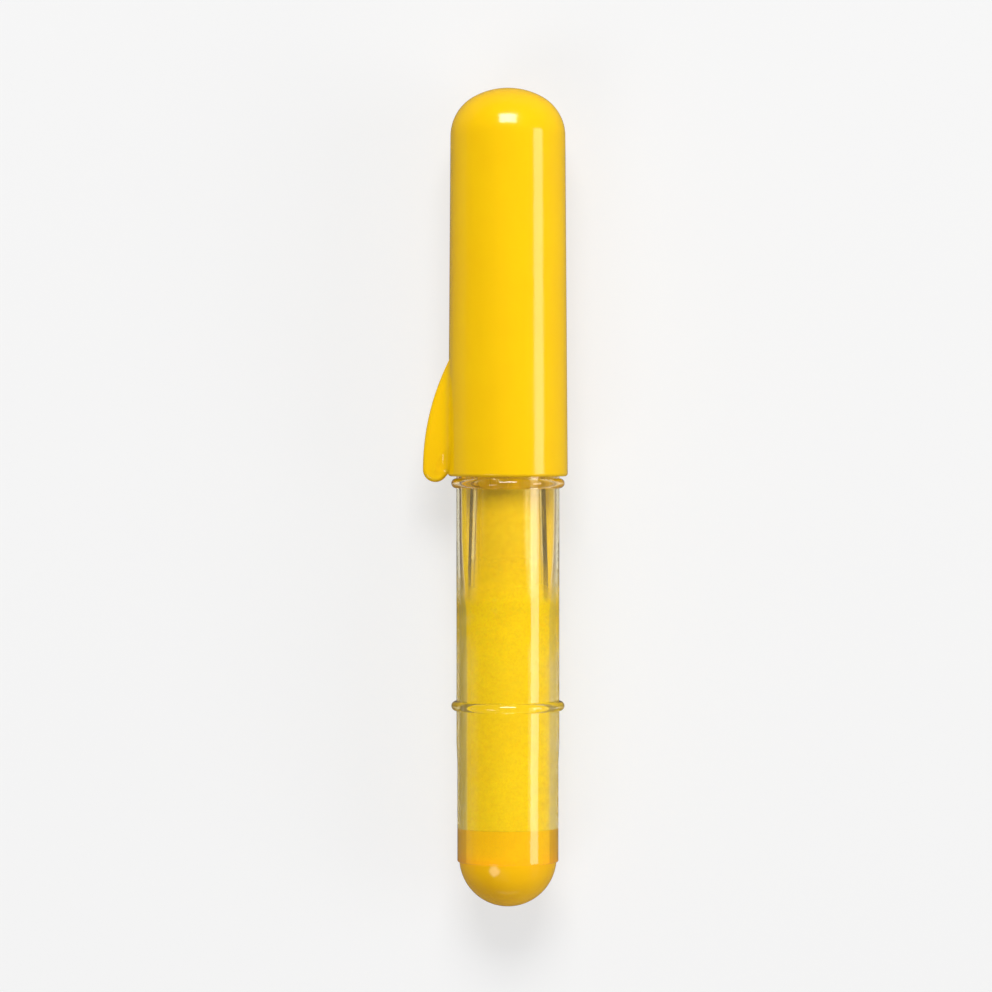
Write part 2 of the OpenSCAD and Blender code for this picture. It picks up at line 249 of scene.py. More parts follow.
def dusted(tree, plastic, dust, slant, along, across, handled):
    """Clear plastic with dust over it, in uneven cover and two grain colours."""
    grain_mm, cover_mm = 0.3, 2.2
    slant_rise, slant_fall = (0.150, 0.175), (0.200, 0.212)
    deep = colour(dust.deep)
    grain = blend(tree, between(tree, handled, 0.3, 0.8, 0, 0.6), colour(dust.pale), deep)
    grain = blend(tree, between(tree, noise(tree, grain_mm, 3), 0.45, 0.7, 0, 0.8), grain, deep)
    cover = between(tree, noise(tree, cover_mm, 5), 0.3, 0.75, dust.least, dust.most)
    cover = times(tree, cover, stepped(tree, along, dust.stops))
    aslant = times(tree, between(tree, slant, *slant_rise, 0, 1), between(tree, slant, *slant_fall, 1, 0))
    # Heavier on the fin's shaded side than on the lamp's side: dust, and partly painted shade.
    aslant = times(tree, aslant, to_the_left(tree, across, 0.3, 0.8))
    # The dust's emission is a painted glow that stands in for light a narrow gap gathers; no lamp gives it.
    powder = add(tree, "ShaderNodeBsdfPrincipled", Base_Color=grain, Roughness=0.95,
                 Specular_IOR_Level=0.1, Emission_Color=grain, Emission_Strength=dust.glow)
    cover = calculate(tree, "MAXIMUM", cover, aslant)
    return over(tree, cover, plastic, powder.outputs["BSDF"])


def with_painted_shade(tree, plastic, painted_shade, slant, along, across):
    """Clear plastic with painted shade over it as a dark film, between its start and its widest slant, in
    long streaks.
    """
    streak_mm, along_the_pen, soft_edge = 0.35, (14, 1, 1), (-0.003, 0.006)
    shade = blend(tree, stepped(tree, along, painted_shade.share_stops), colour(painted_shade.second), colour(painted_shade.first))
    past = calculate(tree, "SUBTRACT", slant, stepped(tree, along, painted_shade.widest))
    reached = calculate(tree, "ADD", slant, to_the_left(tree, across, painted_shade.right_early, 0))
    cover = times(tree, between(tree, reached, painted_shade.start, painted_shade.full, 0, painted_shade.most),
                  between(tree, past, *soft_edge, 1, 0))
    streaks = between(tree, noise(tree, streak_mm, 3, along_the_pen), 0.35, 0.65, 1.0, 0.72)
    cover = times(tree, cover, times(tree, streaks, to_the_left(tree, across, painted_shade.right_share, 1)))
    # Painted shade: a dark matt layer where the wall, seen at a slant, would mirror.
    painted_shade_layer = add(tree, "ShaderNodeBsdfPrincipled", Base_Color=shade, Roughness=0.9, Specular_IOR_Level=0.1)
    return over(tree, cover, plastic, painted_shade_layer.outputs["BSDF"])


# %% [markdown]
# Light has to reach the chalk inside, and a path tracer finds lamps through glass only slowly. So rays that
# carry lamp light or bounced light pass straight through, while the camera sees true refraction.

# %% Crystal polystyrene


def clear_plastic(name, ripple_depth_mm, dust=None, painted_shade=None):
    """Clear moulded plastic with fine scratches and a faint ripple, and with what clings to it."""
    scratch_mm, handling_mm, ripple_mm = 0.22, 4, 3
    scratched_along, rippled_along = (26, 1, 1), (5, 1, 1)
    material, tree, surface = new_material(name)
    scratches = noise(tree, scratch_mm, 2, scratched_along)
    handled = noise(tree, handling_mm, 4)
    wavy = bump(tree, noise(tree, ripple_mm, 2, rippled_along), ripple_depth_mm)
    tint = blend(tree, between(tree, handled, 0.3, 0.8, 0, 1), colour("FFF6D4"), colour("FFFAE4"))
    worn = between(tree, scratches, 0.66, 0.84, 0.0, 0.07)
    slant = add(tree, "ShaderNodeLayerWeight", Blend=0.5).outputs["Facing"]
    place = add(tree, "ShaderNodeTexCoord").outputs["Object"]
    spread = add(tree, "ShaderNodeSeparateXYZ", Vector=place).outputs
    plastic = add(tree, "ShaderNodeBsdfPrincipled", Base_Color=tint, Roughness=worn,
                  IOR=styrene_ior, Transmission_Weight=1.0, Normal=wavy).outputs["BSDF"]
    if dust:
        plastic = dusted(tree, plastic, dust, slant, spread["X"], spread["Y"], handled)
    if painted_shade:
        plastic = with_painted_shade(tree, plastic, painted_shade, slant, spread["X"], spread["Y"])
    lets_by = blend(tree, between(tree, slant, 0.7, 1.0, 0, 1), colour("FFFFFF"), colour("B0A070"))
    open_air = add(tree, "ShaderNodeBsdfTransparent", Color=lets_by)
    path = add(tree, "ShaderNodeLightPath").outputs
    passes = calculate(tree, "MAXIMUM", path["Is Shadow Ray"], path["Is Diffuse Ray"])
    tree.links.new(over(tree, passes, plastic, open_air.outputs["BSDF"]), surface)
    return material


# %% [markdown]
# Now each wall gets its own dust and its own painted shade. The stops follow the funnel's lip, because the
# powder behind the wall ends there, and the bore is cleaner from the lip to the mouth.

# %% Where the dust and the film lie
everywhere = [(tail_x, 1.0), (mouth_x, 1.0)]
bore_stops = [(tail_x, 1.0), (lip_x - 9 * mm, 1.0), (lip_x - 3 * mm, 1.7), (lip_x - 0.2 * mm, 1.7),
              (lip_x + 2.5 * mm, 0.6), (lip_x + 6 * mm, 0.15), (mouth_x, 0.15)]
funnel_stops = [(lip_x, 10.0), (lip_x + 2 * mm, 10.0), (lip_x + 7 * mm, 1.0), (mouth_x, 1.0)]
olive_stops = [(tail_x, 1.0), (lip_x + 1 * mm, 1.0), (lip_x + 6 * mm, 0.0), (mouth_x, 0.0)]
bore_widest = [(tail_x, 0.306), (lip_x - 1 * mm, 0.306), (lip_x + 0.5 * mm, 0.273),
               (lip_x + 4.5 * mm, 0.243), (lip_x + 9 * mm, 0.232), (mouth_x, 0.230)]
thin_line = [(tail_x, 0.230), (mouth_x, 0.230)]
no_limit = [(tail_x, 1.1), (mouth_x, 1.1)]
at_mirror = (0.206, 0.219)
# Painted shade for each wall: olive on the lower barrel and dark brown in the neck, a near black line on the
# funnel's outside for the V, the plug's amber painted over the plug zone's mirroring edge, and dark olive
# round the post bead.
bore_painted_shade = PaintedShade("C8B048", "6A4A20", olive_stops, *at_mirror, bore_widest, 0.97, 0.6, 0.0)
inner_painted_shade = PaintedShade("9A8030", "8A6A28", olive_stops, *at_mirror, thin_line, 0.6, 1.0, 0.0)
outer_painted_shade = PaintedShade("5A4018", "140C04", olive_stops, 0.58, 0.66, no_limit, 1.25, 1.0, 0.08)
plug_painted_shade = PaintedShade("D8A008", "D8A008", everywhere, *at_mirror, no_limit, 0.95, 1.0, 0.0)
bead_painted_shade = PaintedShade("8A7420", "8A7420", everywhere, *at_mirror, bore_widest, 0.97, 0.8, 0.0)
mirrors_from = 1 - math.sqrt(1 - 1 / styrene_ior ** 2)
print("a wall mirrors from slant", round(mirrors_from, 3), "and the film starts at", at_mirror[0])

# %% [markdown]
# One moulding can need several finishes, one for each kind of place. They differ only in their dust, its
# painted glow and their painted shade, so one function with a few values makes them all.

# %% Clear finishes
clear_outside = clear_plastic("crystal_polystyrene", 0.002)
clear_bore = clear_plastic("crystal_polystyrene_dusted_painted_shade", 0.002,
                           Dust("FFDC0A", "F5C204", 0.45, 0.75, bore_stops, 0.0), bore_painted_shade)
clear_funnel = clear_plastic("crystal_polystyrene_lightly_dusted_painted_shade", 0.001,
                             Dust("FFDC0A", "F5C204", 0.1, 0.3, funnel_stops, 0.0), inner_painted_shade)
clear_in_powder_painted_shade = clear_plastic("crystal_polystyrene_in_powder_painted_shade", 0.001, None, outer_painted_shade)
clear_on_plug = clear_plastic("crystal_polystyrene_on_plug", 0.002,
                              Dust("FFC800", "FABC00", 0.85, 0.95, everywhere, 0.0), plug_painted_shade)
# Behind the beads the dust carries a painted glow: 0.25 at the stop bead, 0.1 at the post bead.
clear_at_bead = clear_plastic("crystal_polystyrene_at_the_bead", 0.002,
                              Dust("FFC606", "F4AE00", 0.25, 0.6, everywhere, 0.25), bore_painted_shade)
clear_at_post_bead = clear_plastic("crystal_polystyrene_at_the_post_bead", 0.002,
                                   Dust("FFDC0A", "F5C204", 0.15, 0.4, everywhere, 0.1), bead_painted_shade)
print("clear finishes:", sum(made.name.startswith("crystal") for made in bpy.data.materials))

# %% [markdown]
# Tailor's chalk is ground talc and pigment. Packed behind a clear wall it looks dull and even, with soft
# clouds where it has settled, and single darker and paler grains.

# %% Loose chalk powder


def chalk(name, main, deep, pale):
    settled_mm, clump_mm, grain_mm = 5, 0.9, 0.28
    clump_depth_mm, grain_depth_mm = 0.02, 0.01
    material, tree, surface = new_material(name)
    settled = noise(tree, settled_mm, 4, (2, 1, 1))
    clumps = noise(tree, clump_mm, 5)
    grains = noise(tree, grain_mm, 2)
    tint = blend(tree, between(tree, settled, 0.35, 0.7, 0, 0.4), colour(main), colour(deep))
    tint = blend(tree, between(tree, clumps, 0.5, 0.75, 0, 0.4), tint, colour(pale))
    tint = blend(tree, between(tree, grains, 0.45, 0.7, 0, 0.6), tint, colour(deep))
    rough = bump(tree, clumps, clump_depth_mm, 0.5)
    rough = bump(tree, grains, grain_depth_mm, 0.5, rough)
    dull = between(tree, grains, 0.3, 0.7, 0.9, 1.0)
    powder = add(tree, "ShaderNodeBsdfPrincipled", Base_Color=tint, Roughness=dull, Normal=rough,
                 Specular_IOR_Level=0.2)
    tree.links.new(powder.outputs["BSDF"], surface)
    return material


chalk_yellow = chalk("loose_chalk_powder", "FFDC08", "F5C204", "FFE220")
print("powder finish:", chalk_yellow.name)

# %% [markdown]
# Inside the cap a cup of natural polyethylene closes over the nib. The plastic is milky and waxy, so most
# of its look is light that goes in and comes out again nearby. The fork is white acetal, a denser plastic
# of the same kind of look, so light goes in less deep.

# %% Natural polyethylene and white acetal


def waxy_plastic(name, main, deep, depth_mm):
    cloud_mm, sheen_mm, pore_mm, pore_depth_mm = 2.5, 0.6, 0.35, 0.006
    material, tree, surface = new_material(name)
    cloud = noise(tree, cloud_mm, 4)
    tint = blend(tree, between(tree, cloud, 0.35, 0.7, 0, 1), colour(main), colour(deep))
    shine = between(tree, noise(tree, sheen_mm, 4), 0.35, 0.7, 0.34, 0.5)
    soft = bump(tree, noise(tree, pore_mm, 3), pore_depth_mm)
    plastic = add(tree, "ShaderNodeBsdfPrincipled", Base_Color=tint, Roughness=shine, Normal=soft, IOR=1.51,
                  Subsurface_Weight=0.5, Subsurface_Radius=(1.0, 0.9, 0.75), Subsurface_Scale=depth_mm * mm)
    tree.links.new(plastic.outputs["BSDF"], surface)
    return material


liner_white = waxy_plastic("natural_polyethylene", "F4F1E8", "E8E4D6", 1.2)
fork_white = waxy_plastic("white_acetal", "F2F1EC", "E9E7DF", 0.5)
print("white finishes:", liner_white.name, fork_white.name)

# %% [markdown]
# The wheel is stamped from brass strip and the pin is cut from drawn steel wire. Stamped brass keeps the
# fine lines of the rolling mill across its faces, and chalk dust dulls it in patches. Drawn wire has
# lines along its length.

# %% Stamped brass and drawn steel


def worked_metal(name, main, dull, lines_mm, stretch, low_rough, high_rough):
    patch_mm, line_depth_mm = 0.8, 0.004
    material, tree, surface = new_material(name)
    lines = noise(tree, lines_mm, 2, stretch)
    patches = noise(tree, patch_mm, 4)
    tint = blend(tree, between(tree, patches, 0.5, 0.75, 0, 0.8), colour(main), colour(dull))
    shine = between(tree, lines, 0.35, 0.7, low_rough, high_rough)
    marks = bump(tree, lines, line_depth_mm, 0.6)
    metal = add(tree, "ShaderNodeBsdfPrincipled", Base_Color=tint, Roughness=shine, Normal=marks,
                Metallic=1.0)
    tree.links.new(metal.outputs["BSDF"], surface)
    return material


brass = worked_metal("stamped_brass", "D9B25C", "C79A45", 0.06, (12, 1, 1), 0.22, 0.4)
steel = worked_metal("drawn_steel", "C9CACB", "B2B3B5", 0.05, (1, 12, 1), 0.2, 0.34)
print("metal finishes:", brass.name, steel.name)

# %% [markdown]
# The barrel, the nib holder and the cap are turned shapes: one outline carried round the axis. A short
# list of corners describes each outline, and every corner says how far it is rounded, as on a drawing.

# %% Outlines with rounded corners


def rounded(corners, closed, steps=8):
    """The outline through (along, radius, rounding) corners, with each corner turned into an arc."""
    points = []
    count = len(corners)
    for i, (x, r, rounding) in enumerate(corners):
        here = Vector((x, r))
        if rounding == 0 or (not closed and i in (0, count - 1)):
            points.append(here)
            continue
        back = Vector(corners[i - 1][:2]) - here
        ahead = Vector(corners[(i + 1) % count][:2]) - here
        half_turn = (math.pi - back.angle(ahead)) / 2
        reach = min(rounding * math.tan(half_turn), back.length * 0.5, ahead.length * 0.5)
        radius = reach / math.tan(half_turn)
        start, end = here + back.normalized() * reach, here + ahead.normalized() * reach
        middle = here + (back.normalized() + ahead.normalized()).normalized() * math.hypot(reach, radius)
        for k in range(steps + 1):
            towards = start.lerp(end, k / steps) - middle
            points.append(middle + towards.normalized() * radius)
    return points


def arc(x, r, radius, first, last, steps):
    """Points of an arc about (x, r), with angles in degrees measured from straight outwards."""
    turns = [math.radians(first + (last - first) * k / steps) for k in range(steps + 1)]
    return [Vector((x + radius * math.sin(t), r + radius * math.cos(t))) for t in turns]


# %% [markdown]
# Geometry Nodes turn an outline into the finished piece. The outline's own X becomes the distance from a
# round rail and its Y runs down the rail's axis, so the tree needs only the rail, a turn to lay the piece
# along the pen, and a merge that closes the poles.

# %% The turning tree
weld = 1e-6


def new_tree(name, *inputs):
    """An empty tree with (name, kind) inputs between a start and a material, and a piece as its output."""
    tree = bpy.data.node_groups.new(name, "GeometryNodeTree")
    for title, kind in (("Start", "Geometry"), *inputs, ("Material", "Material")):
        tree.interface.new_socket(title, in_out="INPUT", socket_type="NodeSocket" + kind)
    tree.interface.new_socket("Piece", in_out="OUTPUT", socket_type="NodeSocketGeometry")
    return tree, tree.nodes.new("NodeGroupInput").outputs


def end_tree(tree, given, shape):
    """The end that both trees share: real geometry with its material."""
    real = add(tree, "GeometryNodeRealizeInstances", Geometry=shape).outputs[0]
    coated = add(tree, "GeometryNodeSetMaterial", Geometry=real, Material=given["Material"]).outputs[0]
    out = tree.nodes.new("NodeGroupOutput")
    tree.links.new(coated, out.inputs["Piece"])


def turning_tree():
    tree, given = new_tree("turned_on_a_lathe", ("Rail radius", "Float"), ("Facets", "Int"),
                           ("Axis place", "Vector"))
    rail = add(tree, "GeometryNodeCurvePrimitiveCircle", Resolution=given["Facets"],
               Radius=given["Rail radius"]).outputs[0]
    outline = add(tree, "GeometryNodeMeshToCurve", Mesh=given["Start"]).outputs[0]
    turned = add(tree, "GeometryNodeCurveToMesh", Curve=rail, Profile_Curve=outline).outputs[0]
    laid = add(tree, "GeometryNodeTransform", Geometry=turned, Translation=given["Axis place"],
               Rotation=(0, math.pi / 2, 0)).outputs[0]
    closed = add(tree, "GeometryNodeMergeByDistance", Geometry=laid, Distance=weld).outputs[0]
    smooth = add(tree, "GeometryNodeSetShadeSmooth", Geometry=closed).outputs[0]
    end_tree(tree, given, smooth)
    return tree


lathe = turning_tree()
print("turning tree has", len(lathe.nodes), "nodes")

# %% [markdown]
# A modifier keeps its result live, but the model needs plain meshes. This step sets the tree's inputs by
# their identifiers, reads the evaluated mesh, and leaves the modifier out. Then faces are made to point
# outwards, and edges sharper than a limit stay crisp.

# %% From a tree to a plain mesh


def run_tree(name, tree, mesh, inputs):
    """A new object from a tree, with its inputs by name, turned to a plain mesh."""
    piece = bpy.data.objects.new(name, mesh)
    scene.collection.objects.link(piece)
    modifier = piece.modifiers.new("tree", "NODES")
    modifier.node_group = tree
    ids = {item.name: item.identifier for item in tree.interface.items_tree if item.in_out == "INPUT"}
    for key, value in inputs.items():
        modifier[ids[key]] = value
    graph = bpy.context.evaluated_depsgraph_get()
    plain = bpy.data.meshes.new_from_object(piece.evaluated_get(graph), depsgraph=graph)
    plain.name = name
    piece.modifiers.clear()
    piece.data = plain
    return piece


def finish_mesh(piece, sharp_degrees=35):
    """Faces outwards, smooth, with edges past the limit kept sharp."""
    made = bmesh.new()
    made.from_mesh(piece.data)
    bmesh.ops.remove_doubles(made, verts=made.verts, dist=1e-7)
    bmesh.ops.recalc_face_normals(made, faces=made.faces)
    made.to_mesh(piece.data)
    made.free()
    piece.data.shade_smooth()
    piece.data.set_sharp_from_angle(angle=math.radians(sharp_degrees))
    print(piece.name, "has", len(piece.data.polygons), "faces")
    return piece


def piece_from(made, name, material):
    """An object from a finished bmesh, with its material."""
    mesh = bpy.data.meshes.new(name)
    made.to_mesh(mesh)
    made.free()
    mesh.materials.append(material)
    piece = bpy.data.objects.new(name, mesh)
    scene.collection.objects.link(piece)
    return piece


def turned_piece(name, points, closed, material, facets=192, bore=None):
    """A turned piece from its outline. Faces that look at the axis get the bore's material."""
    rail_r = 10 * mm
    outline = bpy.data.meshes.new(name + "_outline")
    ends = [(i, i + 1) for i in range(len(points) - 1)] + [(len(points) - 1, 0)] * closed
    outline.from_pydata([(p.y - rail_r, -p.x, 0) for p in points], ends, [])
    piece = run_tree(name, lathe, outline, {
        "Rail radius": rail_r, "Facets": facets, "Axis place": (0, axis_y, axis_z), "Material": material})
    finish_mesh(piece)
    if bore:
        piece.data.materials.append(bore)
        for face in piece.data.polygons:
            out = Vector((0, face.center.y - axis_y, face.center.z - axis_z))
            if out.dot(face.normal) < -0.5 * out.length:
                face.material_index = 1
    return piece


# %% [markdown]
# The barrel is the main piece. Its wall is thick enough to show as two clear bands beside the powder. The
# bore widens towards the mouth, and two beads stop the cap: one when the pen is closed, the other when the
# cap sits on the tail. The bore is dusted with chalk and carries painted shade, so its faces get that
# finish.
# Where it lies on the plug, and behind each bead, the dust and the painted shade differ, and behind the
# beads the dust has a painted glow, so those faces get finishes of their own.

# %% The clear barrel
barrel_r = 7.55 * mm
tail_r = 7.42 * mm
tail_len = 14.5 * mm
bore_r = 6.2 * mm
neck_bore_r = 7.0 * mm
neck_len = 24 * mm
bore_corners = [(mouth_x, neck_bore_r), (mouth_x - neck_len, neck_bore_r),
                (mouth_x - 31.5 * mm, 6.94 * mm), (mouth_x - 35.8 * mm, 6.76 * mm),
                (mouth_x - 40 * mm, 6.5 * mm), (mouth_x - 42.5 * mm, bore_r), (tail_x, bore_r)]
bore_round = 20 * mm
tail_round = 4 * mm
edge_round = 0.25 * mm
bead_w = 1.45 * mm
bead_h = 0.75 * mm
bead_steps = 20
behind_bead = (stop_bead_x - 0.8 * mm, stop_bead_x + 2.5 * mm)
behind_post_bead = (post_bead_x - bead_w / 2, post_bead_x + bead_w / 2)
spigot_x = tail_x + 4.95 * mm


def bead(x):
    """Points of a half-round bead on the barrel."""
    turns = [math.pi * k / bead_steps for k in range(bead_steps + 1)]
    return [(x - bead_w / 2 * math.cos(t), barrel_r + bead_h * math.sin(t), 0) for t in turns]


barrel_outline = rounded([
    (tail_x, bore_r, 0.1 * mm), (tail_x, tail_r, edge_round), (tail_x + tail_len, tail_r, tail_round),
    (tail_x + tail_len + 3 * mm, barrel_r, tail_round), *bead(post_bead_x), *bead(stop_bead_x),
    (mouth_x, barrel_r, edge_round), (mouth_x, neck_bore_r, 0.1 * mm),
    (behind_bead[1], neck_bore_r, 0), (behind_bead[0], neck_bore_r, 0),
    *[(x, r, bore_round) for x, r in bore_corners[1:-1]],
    (behind_post_bead[1], bore_r, 0), (behind_post_bead[0], bore_r, 0), (spigot_x, bore_r, 0)], True)
barrel = turned_piece("barrel_clear", barrel_outline, True, clear_outside, 256, clear_bore)
in_the_bore = [face for face in barrel.data.polygons if face.material_index == 1]
bore_finishes = [(clear_on_plug, (tail_x, spigot_x)), (clear_at_bead, behind_bead),
                 (clear_at_post_bead, behind_post_bead)]
for index, (finish, (from_x, to_x)) in enumerate(bore_finishes, 2):
    barrel.data.materials.append(finish)
    for face in in_the_bore:
        if from_x < face.center.x < to_x:
            face.material_index = index
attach(barrel, "barrel_unit")
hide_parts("barrel")

# %% [markdown]
# The nib holder is one clear moulding: a funnel that dips into the powder, a plug in the barrel's mouth, a
# collar for the inner cap, and a cone that grips the fork. The funnel's thin wall is what draws the long
# narrow V on both sides of the pen. Its outside lies in powder and gets painted shade, a near black line
# along the V's edge.

# %% The clear nib holder
cone_tip_x = holder_high.x
flange_x = mouth_x + 0.05 * mm
collar_x = flange_x + 1.4 * mm
cone_x = cone_tip_x - 6.5 * mm
plug_x = lip_x + 30.5 * mm
throat_x = cone_tip_x - 5 * mm
bevel_x = lip_x + 3 * mm
lip_r, funnel_end_r = 6.0 * mm, 5.1 * mm
lip_bore_r, chamber_r = 5.7 * mm, 4.2 * mm
bevel_r = 4.99 * mm
plug_in_r, plug_r = 6.65 * mm, 6.95 * mm
flange_r, collar_r = 7.3 * mm, 5.85 * mm
cone_tip_r, cone_bore_r, throat_r = 3.9 * mm, 2.7 * mm, 1.7 * mm
holder_outline = rounded([
    (bevel_x, bevel_r, 2 * mm), (lip_x, lip_bore_r, 0.1 * mm), (lip_x, lip_r, 0.1 * mm),
    (plug_x, funnel_end_r, 0.3 * mm), (plug_x, plug_in_r, 0), (plug_x + 0.6 * mm, plug_r, 0),
    (flange_x, plug_r, 0), (flange_x, flange_r, 0.1 * mm), (collar_x, flange_r, 0.3 * mm),
    (collar_x, collar_r, 0.15 * mm), (cone_x, collar_r, 1.2 * mm), (cone_tip_x, cone_tip_r, 0.3 * mm),
    (cone_tip_x, cone_bore_r, 0.1 * mm), (throat_x, cone_bore_r, 0), (throat_x, throat_r, 0.1 * mm),
    (throat_x - 4 * mm, chamber_r, 0.5 * mm), (plug_x, chamber_r, 0)], True)
holder = turned_piece("nib_holder_clear", holder_outline, True, clear_outside, 192, clear_funnel)
holder.data.materials.append(clear_in_powder_painted_shade)
for face in holder.data.polygons:
    if face.material_index == 0 and face.center.x < plug_x - 0.1 * mm:
        face.material_index = 2
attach(holder, "nib_unit")
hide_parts("nib_holder")

# %% [markdown]
# Some powder is caught beside the funnel. It lies in the lower part of the gap between the funnel and the
# bore and shows as the yellow wedges beside the V. Its top is level because the pen lies on the table, a
# little below the pen's axis. Each station along the pen is one closed loop: out along the bore, back
# along the funnel.

# %% The caught powder
ring_low, ring_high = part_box("chalk_ring")
ring_drop = 0.8 * mm
ring_gap = 0.02 * mm


def bore_at(x):
    """The bore's radius at a place along the pen."""
    for (high_x, high_r), (low_x, low_r) in zip(bore_corners, bore_corners[1:]):
        if low_x <= x <= high_x:
            return low_r + (high_r - low_r) * (x - low_x) / (high_x - low_x)
    return bore_r


def make_ring(stations=60, around=64):
    made = bmesh.new()
    loops = []
    for i in range(stations + 1):
        x = ring_low.x + (ring_high.x - ring_low.x) * i / stations
        outer = bore_at(x) - ring_gap
        inner = lip_r - (x - lip_x) / (plug_x - lip_x) * (lip_r - funnel_end_r) + ring_gap
        loop = []
        for radius, turn in ((outer, 1), (inner, -1)):
            most = math.acos(ring_drop / radius)
            for k in range(around + 1):
                t = most * (2 * k / around - 1) * turn
                spot = (x, axis_y + radius * math.sin(t), axis_z - radius * math.cos(t))
                loop.append(made.verts.new(spot))
        loops.append(loop)
    size = len(loops[0])
    for a, b in zip(loops, loops[1:]):
        for k in range(size):
            made.faces.new((a[k], a[(k + 1) % size], b[(k + 1) % size], b[k]))
    for loop in (loops[0], loops[-1]):
        for k in range(around):
            made.faces.new((loop[k], loop[k + 1], loop[size - 2 - k], loop[size - 1 - k]))
    return finish_mesh(piece_from(made, "chalk_ring_level", chalk_yellow))


ring = make_ring()
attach(ring, "nib_unit")
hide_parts("chalk_ring")

# %% [markdown]
# The cap is a thin shell. Its dome is two arcs that meet tangentially, a shoulder and a flatter crown, and
# its rim has a soft round. The same two arcs, one wall smaller, make the inside.

# %% The cap's shell
cap_top_x = cap_high.x
rim_x = stop_bead_x + bead_w / 2 + 0.3 * mm
rim_r = 8.78 * mm
top_r = 8.42 * mm
crown_r = 10.4 * mm
shoulder_r = 6.6 * mm
cap_wall = 1.1 * mm
rim_round = 1.0 * mm
rim_lead, rim_lead_x = 0.25 * mm, 0.4 * mm
edge_break = 0.05 * mm
mouth_fit_r = barrel_r + 0.1 * mm
inner_r = mouth_fit_r - 0.15 * mm
step_x = collar_x + 0.25 * mm
shoulder_c = top_r - shoulder_r
dome_turn = math.degrees(math.asin(shoulder_c / (crown_r - shoulder_r)))
shoulder_x = cap_top_x - crown_r + (crown_r - shoulder_r) * math.cos(math.radians(dome_turn))
dome_in = arc(shoulder_x, shoulder_c, shoulder_r - cap_wall, 0, 90 - dome_turn, 16)
dome_in += arc(cap_top_x - crown_r, 0, crown_r - cap_wall, 90 - dome_turn, 90, 12)[1:]
dome_out = arc(shoulder_x, shoulder_c, shoulder_r, 0, 90 - dome_turn, 24)
dome_out += arc(cap_top_x - crown_r, 0, crown_r, 90 - dome_turn, 90, 16)[1:]
rim_outline = rounded([
    (step_x + 2 * mm, inner_r, 0), (step_x, inner_r, edge_break), (step_x, mouth_fit_r, edge_break),
    (rim_x + rim_lead_x, mouth_fit_r, 0), (rim_x, mouth_fit_r + rim_lead, 0.1 * mm),
    (rim_x, rim_r, rim_round), (rim_x + 8 * mm, rim_r - 0.06 * mm, 0)], False, 12)
cap = turned_piece("cap_shell_moulded", dome_in[::-1] + rim_outline + dome_out, False, cap_yellow, 256)
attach(cap, "cap")
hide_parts("cap_shell")

# %% [markdown]
# The fin keeps the pen from rolling off the table. It is a solid blade, moulded with the cap. Its outer
# edge is one long arc with a round end that reaches just past the rim, so the outline is two arcs and a
# short curve back to the rim.

# %% The fin's outline
fin_h = 3.69 * mm
fin_len = 17.2 * mm
fin_drop = 0.85 * mm
fin_end_r = 1.83 * mm
edge_half = 0.65 * mm
blade_half = 1.45 * mm
fin_y = rim_r + fin_h
end_x = rim_x - fin_drop + fin_end_r
rise = fin_h + 0.25 * mm
run = rim_x + fin_len - end_x
edge_arc_r = (run * run + rise * rise) / (2 * rise)
sweep = math.asin(run / edge_arc_r)


def on_circle(x, radius, turn):
    """A point of a circle that touches the fin's highest line at x, by its turn from there."""
    return Vector((x + radius * math.sin(turn), fin_y - radius * (1 - math.cos(turn))))


def fin_outline():
    """The fin's edge in (along, out) from its root, round its end and back to the rim."""
    long_steps, end_steps, back_steps, end_turn = 80, 48, 12, math.radians(168)
    points = []
    for k in range(long_steps + 1):
        turn = sweep * (1 - k / long_steps)
        points.append(on_circle(end_x, edge_arc_r, turn))
    for k in range(1, end_steps + 1):
        turn = end_turn * k / end_steps
        points.append(on_circle(end_x, fin_end_r, -turn))
    last = points[-1]
    back = Vector((rim_x + 0.35 * mm, rim_r - 0.75 * mm))
    bend = Vector((last.x + 0.55 * mm, last.y - 0.35 * mm))
    for k in range(1, back_steps + 1):
        t = k / back_steps
        points.append(last * (1 - t) ** 2 + bend * 2 * t * (1 - t) + back * t * t)
    return points


fin_edge = fin_outline()
print("fin outline has", len(fin_edge), "points")

# %% [markdown]
# The fin grows out of the cap in a soft fillet. Lines run from the outline to the foot, and each point is
# raised until it meets the blend of two shapes, the blade and the cap. The blend is a smooth minimum of
# the distances to both, which gives the fillet by itself.

# %% The fin's height above its middle plane


def gap_to_edge(spot):
    """Distance in the plan from a point to the fin's outline."""
    nearest = 1.0
    for a, b in zip(fin_edge, fin_edge[1:]):
        along = b - a
        share = min(max((spot - a).dot(along) / along.length_squared, 0), 1)
        nearest = min(nearest, (spot - a - along * share).length)
    return nearest


def cap_distance(x, y, z):
    """Distance to the cap's outside, a hair inside it so that the fin dips under the shell."""
    taper = (rim_r - top_r) / (shoulder_x - rim_x)
    top = rim_r - 0.015 * mm - max(x - rim_x - rim_round, 0) * taper
    down = max(rim_x + rim_round - x, 0)
    out = math.hypot(y, z) - (top - rim_round)
    return math.hypot(down, max(out, 0)) - rim_round if down > 0 else out - rim_round


def blade_distance(gap, z):
    """Distance to the blade, which is round along its edge and grows thicker inwards."""
    inner = max(gap - edge_half, 0)
    slope = 0.25 * inner * inner / (inner + 0.4 * mm)
    half = edge_half + min(slope, blade_half - edge_half)
    return math.hypot(max(edge_half - gap, 0), z) - edge_half if gap < edge_half else z - half


def fin_height(x, y, gap, blend_mm):
    """The height at which the smooth minimum of both distances is zero."""
    low, high = 0.0, 4 * mm
    reach = blend_mm * mm
    for _ in range(26):
        z = (low + high) / 2
        a, b = cap_distance(x, y, z), blade_distance(gap, z)
        overlap = max(reach - abs(a - b), 0) / reach
        if min(a, b) - overlap * overlap * reach / 4 < 0:
            low = z
        else:
            high = z
    return low


